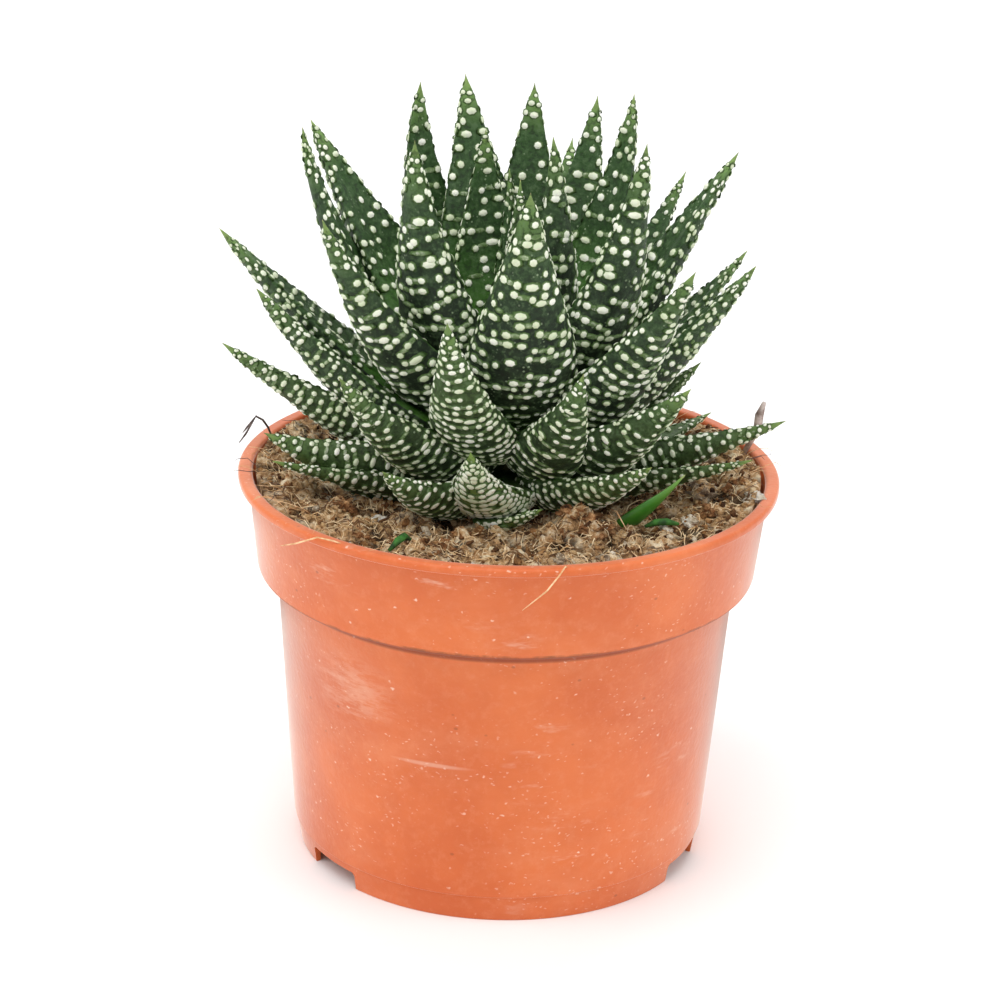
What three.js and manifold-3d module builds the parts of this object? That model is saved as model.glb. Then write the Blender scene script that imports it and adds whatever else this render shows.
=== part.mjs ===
// A potted haworthia: one rosette of thick, pearl-studded leaves in a 12 cm nursery pot.
// Millimetres, +Z up. Every solid is placed from the pot's own axis, and at the end the whole
// group is moved so that the middle of its footprint is the origin and the pot stands on z = 0.
import * as THREE from "three";
import { mergeVertices } from "three/addons/utils/BufferGeometryUtils.js";
import Module from "manifold-3d";

const wasm = await Module();
wasm.setup();

// Driving dimensions of the pot
const potHeight = 89;
const rimRadius = 60;
const lipHeight = 1.9;
const collarHeight = 22.5;
const collarTopRadius = 58;
const collarFootRadius = 55.7;
const bodyTopRadius = 51.3;
const bodyFootRadius = 47;
const wall = 1.2;
const footHeight = 6.2;
const footTopRadius = 46.4;
const footRadius = 45.6;
const floorHeight = 5;
const potSegments = 40;
const notchCount = 3;
const notchFirst = -143;
const notchWidth = 16;
const notchHeight = 4.2;
const drainCount = 6;
const drainRing = 33;
const drainRadius = 4;
const drainSides = 8;

// Driving dimensions of the soil and of the stem that carries the leaves
const soilMiddle = 84;
const soilEdge = 86;
const soilRings = 7;
const soilSegments = 32;
const stemRadius = 4.6;
const stemFoot = 70;
const stemRise = 20;
const stemSides = 12;

// Driving dimensions that every leaf shares
const gap = 0.3;
const rootRadius = 5;
const rootHeight = 84;
const rootClimb = 22;
const peakAt = 0.32;
const neck = 0.5;
const rootShare = 0.22;
const thickness = 0.42;
const outerShare = 0.78;
const rowSpacing = 4.8;
const outerPearl = 1.1;
const edgePearl = 0.6;
const innerPearl = 0.8;
const innerPearlsFrom = 0.4;
const valley = -0.4;
const bowReach = 0.36;
const aroundOuter = 4;
const aroundInner = 3;
const broadLeaf = 21.5;
const roomSides = 6;
const roomPlaces = [0, 0.15, 0.32, 0.55, 0.78, 0.94];

// The leaves, placed by hand: the side that the tip lies on in degrees, its reach from the
// pot's axis and its height above the table, the leaf's width, how far it starts below and ends
// above its own slope in degrees, and its roll about its length in degrees. A leaf rises from the
// stem below its tip, or from the side, reach and height that follow. The lists run from the
// heart outwards, and a leaf gives way to those before it.
const heartLeaves = [
  [-160, 2, 157, 12, 2, 4, 0],
  [-85, 6, 156, 11, 4, 6, 0],
  [-25, 8, 165, 19, 4, 6, -6],
  [114, 18, 161, 19, 12, 14, 0],
];
const upperLeaves = [
  [-85, 30, 160, 25, 26, 20, 0],
  [-141, 28, 167, 23, 20, 16, 12],
  [-34, 32, 168, 21, 20, 14, -14],
  [39, 32, 169, 20, 12, 14, 0],
  [127, 37, 168, 21, 24, 30, 0],
  [85, 36, 167, 22, 14, 12, 0],
  [63, 38, 165, 20, 12, 14, 0],
  [108, 40, 168, 24, 6, 4, 0],
  [173, 47, 163, 21, 18, 18, 8],
  [14, 49, 159, 21, 6, 0, 0],
  [-143, 50, 153, 19, 10, 16, 22],
  [152, 52, 160, 26, 0, 2, 0],
];
const middleLeaves = [
  [-110, 40, 134, 20, 36, 26, 0],
  [-41, 49, 145, 20, 18, 10, -22],
  [-69, 41, 124, 17, 36, 26, -30],
  [-11, 52, 140, 23, 10, 6, 0],
  [104, 60, 151, 18, 10, 10, 0],
  [77, 55, 150, 17, 10, 10, 0],
  [48, 57, 146, 15, 8, 8, 0],
  [9, 51, 138, 17, 8, 6, 0],
  [178, 64, 141, 23, 8, 4, 4],
  [-168, 56, 132, 26, 14, 8, 10],
  [130, 58, 135, 20, 8, 8, 0],
  [25, 50, 124, 18, 8, 8, 0],
];
const lowerLeaves = [
  [-137, 49, 120, 19, 20, 20, 28],
  [-42, 50, 120, 20, 18, 12, -28],
  [-171, 63, 119, 20, 10, 6, 32],
  [-102, 39, 106, 20, 30, 34, 0],
  [62, 58, 116, 18, 10, 12, 0],
  [90, 56, 112, 18, 10, 14, 0],
  [118, 57, 116, 18, 10, 12, 0],
  [147, 52, 108, 17, 8, 10, 0],
  [18, 44, 110, 16, 8, 10, 0],
  [-52, 48, 104, 17, 12, 12, -22],
  [-6, 60, 104, 15, 2, 4, -34],
  [-163, 55, 101, 19, 6, 10, 34],
  [-123, 48, 102, 16, 14, 18, 20],
  [163, 50, 102, 15, 6, 8, 0],
  [76, 57, 100, 15, 6, 10, 0],
  [104, 55, 99, 15, 6, 10, 0],
  [131, 55, 98, 15, 4, 8, 0],
  [32, 54, 93, 14, 4, 6, 0],
  [-19, 55, 99, 13, 2, 4, -28],
  [-156, 55, 97, 13, 2, 4, 28],
];
const youngLeaves = [
  [-76, 29, 89, 6, 4, 10, 0, -107, 22, 83],
  [-31, 46, 97, 4.2, 0, 6, -20, -40, 32, 82.5],
];

// Colours from the photograph
const potColour = 0xe0784c;
const soilColour = 0x6b4a2f;
const stemColour = 0x7f9a5a;
const leafColour = 0x2f4f3a;
const grainColour = 0xd9cdb4;

const material = (color, roughness) => new THREE.MeshStandardMaterial({ color, roughness, metalness: 0 });
const potMaterial = material(potColour, 0.42);
const soilMaterial = material(soilColour, 0.95);
const stemMaterial = material(stemColour, 0.7);
const leafMaterial = material(leafColour, 0.45);
const grainMaterial = material(grainColour, 0.8);

const radians = THREE.MathUtils.degToRad;
const group = new THREE.Group();

// Closed meshes to manifold solids and back
function solidOf(geometry) {
  const bare = new THREE.BufferGeometry();
  bare.setAttribute("position", geometry.getAttribute("position").clone());
  if (geometry.index) bare.setIndex(geometry.index.clone());
  const merged = mergeVertices(bare, 1e-4);
  return new wasm.Manifold(new wasm.Mesh({
    numProp: 3,
    vertProperties: new Float32Array(merged.getAttribute("position").array),
    triVerts: new Uint32Array(merged.index.array),
  }));
}

function geometryOf(solid) {
  const mesh = solid.getMesh();
  const geometry = new THREE.BufferGeometry();
  geometry.setAttribute("position", new THREE.BufferAttribute(new Float32Array(mesh.vertProperties), 3));
  geometry.setIndex(new THREE.BufferAttribute(new Uint32Array(mesh.triVerts), 1));
  return geometry;
}

// The largest body of a solid that a cut has left in several
function largest(solid) {
  return solid.decompose().reduce((best, one) => (one.volume() > best.volume() ? one : best));
}

function add(name, solid, material) {
  const geometry = geometryOf(solid).toNonIndexed();
  geometry.computeVertexNormals();
  const mesh = new THREE.Mesh(geometry, material);
  mesh.name = name;
  group.add(mesh);
}

function lathe(points, segments) {
  const profile = points.map(([r, z]) => new THREE.Vector2(r, z));
  return new THREE.LatheGeometry(profile, segments).rotateX(Math.PI / 2);
}

// The pot's moulding: an outline turned about the axis, with notches and drain holes cut out
function potSolid() {
  const collarFoot = potHeight - collarHeight;
  const roundFoot = 1.6;
  const outline = [
    [0, floorHeight],
    [footRadius - wall, floorHeight],
    [footRadius - wall, 0],
    [footRadius, 0],
    [footTopRadius, footHeight - 0.3],
    [bodyFootRadius, footHeight],
    [bodyTopRadius, collarFoot],
    [collarFootRadius - roundFoot, collarFoot],
    [collarFootRadius, collarFoot + roundFoot],
    [collarTopRadius, potHeight - lipHeight],
    [rimRadius - 0.3, potHeight - lipHeight],
    [rimRadius, potHeight - 0.6],
    [rimRadius - 0.8, potHeight],
    [collarTopRadius - wall + 0.4, potHeight],
    [collarTopRadius - wall, potHeight - 0.6],
    [collarFootRadius - wall, collarFoot + roundFoot + wall],
    [bodyTopRadius - wall, collarFoot + wall],
    [bodyFootRadius - wall, footHeight + wall],
    [0, footHeight + wall],
  ];
  let solid = solidOf(lathe(outline, potSegments));
  for (let i = 0; i < notchCount; i++) {
    const notch = new THREE.BoxGeometry(12, notchWidth, notchHeight * 2);
    notch.translate(footRadius, 0, 0).rotateZ(radians(notchFirst + i * 360 / notchCount));
    solid = solid.subtract(solidOf(notch));
  }
  for (let i = 0; i < drainCount; i++) {
    const drain = new THREE.CylinderGeometry(drainRadius, drainRadius, 8, drainSides).rotateX(Math.PI / 2);
    drain.translate(drainRing, 0, floorHeight + 1).rotateZ(radians(30 + i * 360 / drainCount));
    solid = solid.subtract(solidOf(drain));
  }
  return solid;
}

const polar = (side, reach, height) => {
  const at = radians(side);
  return new THREE.Vector3(reach * Math.cos(at), reach * Math.sin(at), height);
};

// Where a leaf runs: from its root, through a bow, to its tip. across lies level, square to it.
function leafCourse([side, reach, height, , bowLow, bowHigh, , rootSide, rootReach, rootLevel]) {
  const tip = polar(side, reach, height);
  const slope = Math.max(0, Math.atan2(height - rootHeight - 6, reach));
  const onStem = polar(side, rootRadius, rootHeight + rootClimb * Math.sin(slope) ** 1.5);
  const root = rootSide === undefined ? onStem : polar(rootSide, rootReach, rootLevel);
  const chord = tip.clone().sub(root);
  const outward = chord.clone().setZ(0).normalize();
  const rise = Math.asin(chord.z / chord.length());
  const heading = (angle) => outward.clone().multiplyScalar(Math.cos(angle)).setZ(Math.sin(angle));
  const pull = chord.length() * bowReach;
  const start = root.clone().addScaledVector(heading(rise - radians(bowLow)), pull);
  const end = tip.clone().addScaledVector(heading(rise + radians(bowHigh)), -pull);
  const curve = new THREE.CubicBezierCurve3(root, start, end, tip);
  return { curve, across: new THREE.Vector3(-outward.y, outward.x, 0) };
}

// Half-width share along a leaf: a narrow neck, a broad shoulder and a long taper to the tip
function taper(t) {
  if (t < peakAt) return neck + (1 - neck) * Math.sin(Math.PI / 2 * t / peakAt);
  return (1 - ((t - peakAt) / (1 - peakAt)) ** 1.35) ** 1.1;
}

// Where the rings of a leaf's loft stand: wide apart along the hidden root, then in even rows
function ringPlaces(length) {
  const rows = Math.max(3, Math.round(length * (1 - rootShare) / rowSpacing));
  const places = Array.from({ length: rows }, (_, i) => rootShare + (1 - rootShare) * i / rows);
  return [0, rootShare / 2, ...places];
}

// A closed loft along a leaf's course. rows gives each ring's place along it, and around the
// turns about it, from one edge over the outer face to the other edge and back. raiseAt tells
// how far a point stands proud of the plain leaf.
function loft(leaf, rows, around, raiseAt, rootBack, tipPast) {
  const { curve, across } = leafCourse(leaf);
  const [, , , width, , , roll] = leaf;
  const positions = [];
  const index = [];
  rows.forEach((t, i) => {
    const along = curve.getTangentAt(t);
    const flat = across.clone().applyAxisAngle(along, radians(roll));
    const out = flat.clone().cross(along).normalize();
    const centre = curve.getPointAt(t);
    if (i === 0) centre.addScaledVector(along, -rootBack);
    const half = width / 2 * taper(t);
    const deep = width * thickness * taper(t) ** 0.8;
    around.forEach((turn, j) => {
      const raise = raiseAt(i, j, t, half);
      const depth = deep * (Math.sin(turn) > -0.01 ? outerShare : 1 - outerShare);
      const x = Math.cos(turn) * (half + raise);
      const y = Math.sin(turn) * (depth + raise);
      const point = centre.clone().addScaledVector(flat, x).addScaledVector(out, y);
      positions.push(...point.toArray());
    });
  });
  const sides = around.length;
  for (let i = 0; i < rows.length - 1; i++) {
    for (let j = 0; j < sides; j++) {
      const a = i * sides + j;
      const b = i * sides + (j + 1) % sides;
      index.push(a, b + sides, b, a, a + sides, b + sides);
    }
  }
  const root = curve.getPointAt(0).addScaledVector(curve.getTangentAt(0), -rootBack);
  const tip = curve.getPointAt(1).addScaledVector(curve.getTangentAt(1), tipPast);
  positions.push(...root.toArray(), ...tip.toArray());
  const rootIndex = rows.length * sides;
  const last = rootIndex - sides;
  for (let j = 0; j < sides; j++) {
    const next = (j + 1) % sides;
    index.push(rootIndex, j, next);
    index.push(last + j, rootIndex + 1, last + next);
  }
  const geometry = new THREE.BufferGeometry();
  geometry.setAttribute("position", new THREE.Float32BufferAttribute(positions, 3));
  geometry.setIndex(index);
  return geometry;
}

// A leaf's pearls are every other vertex of its loft, raised by a formula, with the ones between
// sunk: on the outer face and the edges all along, and on the inner face past its smooth base
function leafSolid(leaf) {
  const turns = [];
  const across = aroundOuter + (leaf[3] > broadLeaf ? 1 : 0);
  for (let j = 0; j <= across; j++) turns.push(Math.PI * j / across);
  for (let j = 1; j < aroundInner; j++) turns.push(Math.PI * (1 + j / aroundInner));
  const raiseAt = (i, j, t, half) => {
    const inner = j > across;
    if (i < 2 || (inner && t < innerPearlsFrom)) return 0;
    const edge = j % across === 0;
    const pearl = edge ? edgePearl : outerPearl;
    const raise = (inner ? innerPearl : pearl) * Math.min(1.2, half / 7);
    return (i + j) % 2 === 0 ? raise * valley : raise;
  };
  return solidOf(loft(leaf, ringPlaces(leafCourse(leaf).curve.getLength()), turns, raiseAt, 0, 0));
}

// The room that a leaf takes, in few faces, which its neighbours are cut clear of
function leafRoom(leaf) {
  const turns = Array.from({ length: roomSides }, (_, j) => 2 * Math.PI * (j + 0.5) / roomSides);
  const widen = 1 / Math.cos(Math.PI / roomSides);
  const proud = outerPearl + gap;
  const raiseAt = (i, j, t, half) => (half + proud) * widen - half;
  return solidOf(loft(leaf, roomPlaces, turns, raiseAt, gap, 2));
}

// The short stem that the leaves grow from
function stemSolid(grow) {
  const top = rootHeight + stemRise + grow;
  const outline = [
    [0, stemFoot - grow],
    [stemRadius * 0.7 + grow, stemFoot - grow],
    [stemRadius + grow, rootHeight - 4],
    [stemRadius + grow, rootHeight + stemRise * 0.5],
    [stemRadius * 0.5 + grow, top - 1],
    [0, top],
  ];
  return solidOf(lathe(outline, stemSides));
}

// Height of the soil's lumpy top, which rises towards the rim and in one mound at the front
function soilHeight(x, y) {
  const radius = Math.hypot(x, y);
  const lumps = 0.6 * Math.sin(x * 0.31 + 1.2) * Math.cos(y * 0.27 - 0.4);
  const crumbs = 0.4 * Math.sin(x * 0.83 + y * 0.57) * Math.cos(y * 0.71 - x * 0.22);
  const mound = 3 * Math.exp(-((x - 16) ** 2 + (y + 27) ** 2) / 70);
  const rise = THREE.MathUtils.smoothstep(radius, 22, 54) * (soilEdge - soilMiddle);
  return soilMiddle + rise + lumps + crumbs + mound;
}

function soilSolid() {
  const topRadius = collarTopRadius - wall - gap - 0.4;
  const positions = [];
  const index = [];
  const ring = (radiusAt, heightAt) => {
    for (let j = 0; j < soilSegments; j++) {
      const at = 2 * Math.PI * j / soilSegments;
      const x = radiusAt * Math.cos(at);
      const y = radiusAt * Math.sin(at);
      positions.push(x, y, heightAt(x, y));
    }
  };
  for (let i = 1; i <= soilRings; i++) ring(topRadius * i / soilRings, soilHeight);
  const collarFoot = potHeight - collarHeight;
  const below = [
    [collarFootRadius - wall - gap - 0.5, collarFoot + 3.2],
    [bodyTopRadius - wall - gap - 0.3, collarFoot + 1.6],
    [bodyFootRadius - wall - gap - 0.4, footHeight + wall + gap],
  ];
  for (const [radius, height] of below) ring(radius, () => height);
  const count = soilRings + below.length;
  for (let i = 0; i < count - 1; i++) {
    for (let j = 0; j < soilSegments; j++) {
      const a = i * soilSegments + j;
      const b = i * soilSegments + (j + 1) % soilSegments;
      index.push(a, a + soilSegments, b, b, a + soilSegments, b + soilSegments);
    }
  }
  const middle = count * soilSegments;
  positions.push(0, 0, soilHeight(0, 0), 0, 0, footHeight + wall + gap);
  for (let j = 0; j < soilSegments; j++) {
    const next = (j + 1) % soilSegments;
    index.push(middle, j, next);
    const last = (count - 1) * soilSegments;
    index.push(last + next, last + j, middle + 1);
  }
  const geometry = new THREE.BufferGeometry();
  geometry.setAttribute("position", new THREE.Float32BufferAttribute(positions, 3));
  geometry.setIndex(index);
  return solidOf(geometry);
}

// Pale mineral grains that lie half sunk in the soil: side, reach and size
const grains = [
  [-5, 49, 3.6],
  [-31, 46, 4.6],
  [-38, 43.5, 3.2],
  [-142, 35, 3],
];

function grainSolid([side, reach, size], grow) {
  const at = radians(side);
  const x = reach * Math.cos(at);
  const y = reach * Math.sin(at);
  const shape = new THREE.IcosahedronGeometry(size / 2 + grow);
  shape.scale(1.15, 0.9, 0.75).rotateZ(at * 3).translate(x, y, soilHeight(x, y) + size * 0.12);
  return solidOf(shape);
}

// Leaves from the heart outwards: each is cut clear of the stem and of those before it
const stem = stemSolid(0);
const stemClear = stemSolid(gap);
const leaves = [...heartLeaves, ...upperLeaves, ...middleLeaves, ...lowerLeaves, ...youngLeaves];
const placed = [];
const touches = (a, b) => [0, 1, 2].every((k) => a.min[k] < b.max[k] && b.min[k] < a.max[k]);
let soil = soilSolid().subtract(stemClear);
add("pot", potSolid(), potMaterial);
add("stem", stem, stemMaterial);
leaves.forEach((leaf, i) => {
  let solid = leafSolid(leaf).subtract(stemClear);
  const clear = leafRoom(leaf);
  for (const other of placed) {
    if (touches(solid.boundingBox(), other.boundingBox())) solid = solid.subtract(other);
  }
  if (touches(clear.boundingBox(), soil.boundingBox())) soil = soil.subtract(clear);
  placed.push(clear);
  add(`leaf_${String(i + 1).padStart(2, "0")}`, largest(solid.simplify(0.03)), leafMaterial);
});
grains.forEach((grain, i) => {
  soil = soil.subtract(grainSolid(grain, gap));
  add(`grain_${i + 1}`, grainSolid(grain, 0), grainMaterial);
});
add("soil", largest(soil.simplify(0.03)), soilMaterial);

// The middle of the footprint becomes the origin
const box = new THREE.Box3().setFromObject(group);
const middle = box.getCenter(new THREE.Vector3());
for (const mesh of group.children) mesh.geometry.translate(-middle.x, -middle.y, 0);

export default group;
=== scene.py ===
# Potted haworthia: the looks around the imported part. Metres, +Z up, the part's own frame.
import math
import random

import bmesh
import bpy
from mathutils import Matrix, Quaternion, Vector, noise
from mathutils.bvhtree import BVHTree


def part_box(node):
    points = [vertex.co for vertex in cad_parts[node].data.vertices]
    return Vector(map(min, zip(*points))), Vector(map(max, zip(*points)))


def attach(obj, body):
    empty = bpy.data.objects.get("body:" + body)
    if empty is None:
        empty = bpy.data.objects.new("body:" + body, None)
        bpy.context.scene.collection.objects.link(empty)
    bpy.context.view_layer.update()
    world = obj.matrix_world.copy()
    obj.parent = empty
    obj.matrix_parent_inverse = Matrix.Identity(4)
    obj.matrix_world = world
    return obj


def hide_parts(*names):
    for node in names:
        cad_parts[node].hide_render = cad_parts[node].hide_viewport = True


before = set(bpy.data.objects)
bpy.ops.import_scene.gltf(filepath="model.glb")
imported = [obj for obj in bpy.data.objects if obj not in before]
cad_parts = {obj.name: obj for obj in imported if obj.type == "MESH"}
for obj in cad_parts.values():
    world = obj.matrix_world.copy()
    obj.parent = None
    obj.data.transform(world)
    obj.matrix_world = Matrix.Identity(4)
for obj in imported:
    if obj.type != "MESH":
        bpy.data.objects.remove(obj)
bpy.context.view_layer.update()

potLow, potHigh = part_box("pot")
potAxis = Vector(((potLow.x + potHigh.x) / 2, (potLow.y + potHigh.y) / 2, 0))
mm = 0.001


# Small helpers for numbers

def smooth(low, high, value):
    share = min(1, max(0, (value - low) / (high - low)))
    return share * share * (3 - 2 * share)


def mix(a, b, share):
    return a + (b - a) * share


def polar(side, reach, height):
    at = math.radians(side)
    return Vector((reach * math.cos(at), reach * math.sin(at), height))


# Shader nodes: a Wire is a node's output, and sums on wires add Math nodes

class Wire:
    def __init__(self, shader, socket):
        self.shader = shader
        self.socket = socket

    def maths(self, operation, a, b):
        return self.shader.node("Math", {"operation": operation}, {0: a, 1: b})

    def __add__(self, other):
        return self.maths("ADD", self, other)

    def __sub__(self, other):
        return self.maths("SUBTRACT", self, other)

    def __rsub__(self, other):
        return self.maths("SUBTRACT", other, self)

    def __mul__(self, other):
        return self.maths("MULTIPLY", self, other)

    __radd__ = __add__
    __rmul__ = __mul__


class Shader:
    def __init__(self, name):
        self.material = bpy.data.materials.new(name)
        self.material.use_nodes = True
        self.tree = self.material.node_tree
        self.surface = self.tree.nodes["Principled BSDF"]

    def node(self, kind, settings, inputs, output=0):
        made = self.tree.nodes.new("ShaderNode" + kind)
        for name, value in settings.items():
            if name == "stops":
                self.setStops(made.color_ramp, value)
            else:
                setattr(made, name, value)
        for name, value in inputs.items():
            self.plug(made.inputs[name], value)
        return Wire(self, made.outputs[output])

    def setStops(self, ramp, stops):
        while len(ramp.elements) < len(stops):
            ramp.elements.new(0.5)
        for element, (place, shade) in zip(ramp.elements, stops):
            element.position = place
            element.color = shade

    def plug(self, socket, value):
        if isinstance(value, Wire):
            self.tree.links.new(value.socket, socket)
        else:
            socket.default_value = value

    def blend(self, share, a, b):
        inputs = {0: share, 6: a, 7: b}
        return self.node("Mix", {"data_type": "RGBA"}, inputs, 2)

    def ramp(self, share, stops):
        return self.node("ValToRGB", {"stops": stops}, {"Fac": share})

    def noise(self, vector, scale, detail=3, rough=0.55):
        inputs = {"Vector": vector, "Scale": scale, "Detail": detail, "Roughness": rough}
        return self.node("TexNoise", {}, inputs)

    def cells(self, vector, scale):
        return self.node("TexVoronoi", {}, {"Vector": vector, "Scale": scale})

    def vector(self, operation, inputs, output=0):
        return self.node("VectorMath", {"operation": operation}, inputs, output)

    def axis(self, vector, letter):
        return self.node("SeparateXYZ", {}, {"Vector": vector}, letter)

    def attribute(self, name):
        return self.node("Attribute", {"attribute_name": name}, {}, "Fac")

    def band(self, value, low, high):
        inputs = {"Value": value, "From Min": low, "From Max": high}
        return self.node("MapRange", {"interpolation_type": "SMOOTHSTEP"}, inputs)

    def place(self):
        return self.node("TexCoord", {}, {}, "Object")

    def stretched(self, vector, scale, turn=(0, 0, 0)):
        return self.node("Mapping", {}, {"Vector": vector, "Scale": scale, "Rotation": turn})

    def near(self, place, centre, scale, full, turn=(0, 0, 0)):
        # 1 within a stretched patch round the centre, fading to 0 at its edge
        away = self.vector("SUBTRACT", {0: place, 1: centre})
        reach = self.vector("LENGTH", {0: self.stretched(away, scale, turn)}, "Value")
        return 1 - self.band(reach, full, 1)

    def bump(self, height, strength, distance):
        inputs = {"Height": height, "Strength": strength, "Distance": distance}
        return self.node("Bump", {}, inputs)

    def finish(self, values):
        for name, value in values.items():
            self.plug(self.surface.inputs[name], value)
        return self.material


def colour(red, green, blue):
    # a screen colour, 0 to 255, as the linear one that shaders use
    def linear(level):
        value = level / 255
        return value / 12.92 if value <= 0.04045 else ((value + 0.055) / 1.055) ** 2.4
    return linear(red), linear(green), linear(blue), 1


# Meshes and objects

def facesOut(shape):
    bmesh.ops.recalc_face_normals(shape, faces=shape.faces)


def extruded(shape, edges):
    # the points and the edges of a rim carried on from the given edges
    made = bmesh.ops.extrude_edge_only(shape, edges=edges)["geom"]
    kinds = (bmesh.types.BMVert, bmesh.types.BMEdge)
    return [[g for g in made if isinstance(g, kind)] for kind in kinds]


def meshOf(name, shape):
    mesh = bpy.data.meshes.new(name)
    shape.to_mesh(mesh)
    shape.free()
    return mesh


def placed(name, data):
    made = bpy.data.objects.new(name, data)
    bpy.context.scene.collection.objects.link(made)
    return made


# Camera at the photograph's angle, and the studio round it

camera = {
    "aim": (-1.683 * mm, 0, 81.15 * mm),
    "distance": 714.63 * mm,
    "elevation": 21.218,
    "roll": 1.811,
    "lens": 115.2,
    "sensor": 36,
}
studio = {
    "floorSize": 6,
    "floorTone": (0.97, 0.97, 0.97, 1),
    "floorShade": (0.95, 0.95, 0.95, 1),
    "airTone": (1, 1, 1, 1),
    "airStrength": 0.6,
    "lampAim": 80 * mm,
    "lamps": [
        # side, elevation, distance, size, power
        [-108, 64, 1.1, 0.8, 6.2],
        [-14, 28, 1.2, 0.8, 3.6],
        [-166, 30, 1.2, 0.8, 3.2],
        [90, 50, 1.2, 1.2, 7],
    ],
}


def makeCamera():
    data = bpy.data.cameras.new("camera")
    data.lens = camera["lens"]
    data.sensor_width = camera["sensor"]
    data.clip_start = 0.05
    data.clip_end = 50
    body = placed("camera", data)
    rise = math.radians(camera["elevation"])
    roll = math.radians(camera["roll"])
    back = Vector((0, -math.cos(rise), math.sin(rise)))
    right = Vector((1, 0, 0))
    up = Vector((0, math.sin(rise), math.cos(rise)))
    rolledRight = right * math.cos(roll) + up * math.sin(roll)
    rolledUp = up * math.cos(roll) - right * math.sin(roll)
    turn = Matrix((rolledRight, rolledUp, back)).transposed()
    place = potAxis + Vector(camera["aim"]) + back * camera["distance"]
    body.matrix_world = Matrix.Translation(place) @ turn.to_4x4()
    bpy.context.scene.camera = body


def makeStudio():
    shape = bmesh.new()
    bmesh.ops.create_grid(shape, x_segments=1, y_segments=1, size=studio["floorSize"] / 2)
    floor = placed("floor", meshOf("floor", shape))
    look = Shader("floorPaper")
    paper = look.blend(look.noise(look.place(), 3), studio["floorTone"], studio["floorShade"])
    floor.data.materials.append(look.finish({"Base Color": paper, "Roughness": 0.9}))
    air = bpy.data.worlds.new("air")
    air.use_nodes = True
    background = air.node_tree.nodes["Background"]
    background.inputs["Color"].default_value = studio["airTone"]
    background.inputs["Strength"].default_value = studio["airStrength"]
    bpy.context.scene.world = air
    bpy.context.scene.view_settings.view_transform = "Standard"
    aim = potAxis + Vector((0, 0, studio["lampAim"]))
    for i, (side, elevation, distance, size, power) in enumerate(studio["lamps"]):
        data = bpy.data.lights.new(f"lamp{i}", "AREA")
        data.size = size
        data.energy = power
        lamp = placed(f"lamp{i}", data)
        level = distance * math.cos(math.radians(elevation))
        away = polar(side, level, distance * math.sin(math.radians(elevation)))
        turn = away.to_track_quat("Z", "Y").to_matrix().to_4x4()
        lamp.matrix_world = Matrix.Translation(aim + away) @ turn


makeCamera()
makeStudio()
print("camera and studio")


# A finished piece: its mesh moved to the pot's axis, on the one body, with its finish

def finishPiece(name, shape, materials, nodes=(), smoothAngle=None):
    shape.transform(Matrix.Translation(potAxis))
    mesh = meshOf(name, shape)
    for material in materials:
        mesh.materials.append(material)
    mesh.shade_smooth()
    if smoothAngle is not None:
        mesh.set_sharp_from_angle(angle=math.radians(smoothAngle))
    piece = placed(name, mesh)
    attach(piece, "root")
    if nodes:
        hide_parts(*nodes)
    return piece


# The nursery pot

pot = {
    "height": 89 * mm,
    "rimRadius": 60 * mm,
    "lipHeight": 1.9 * mm,
    "collarHeight": 22.5 * mm,
    "collarTopRadius": 58 * mm,
    "collarFootRadius": 55.7 * mm,
    "bodyTopRadius": 51.3 * mm,
    "bodyFootRadius": 47 * mm,
    "wall": 1.2 * mm,
    "footHeight": 6.2 * mm,
    "footTopRadius": 46.4 * mm,
    "footRadius": 45.6 * mm,
    "floorHeight": 5 * mm,
    "turnSteps": 180,
    "notchFirst": -143,
    "notchWidth": 16 * mm,
    "notchHeight": 4.2 * mm,
    "drainRing": 33 * mm,
    "drainRadius": 4 * mm,
    "knifeDepth": 12 * mm,
    "sway": [(0.25, 2, 0.6), (0.16, 3, 2.1), (0.06, 9, 0)],
    "plastic": [colour(208, 100, 46), colour(224, 117, 60)],
    "faded": colour(232, 150, 108),
    "dust": colour(246, 216, 194),
    "soot": colour(150, 70, 40),
    # painted shade for the corner under the collar
    "collarShade": colour(126, 46, 20),
    "soiled": colour(122, 70, 40),
    "scuffAt": (-31 * mm, -38 * mm, 51 * mm),
    "scuff": 0.24,
    "scratchAt": (-13 * mm, -48 * mm, 38 * mm),
    "scratch": 0.3,
}


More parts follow.
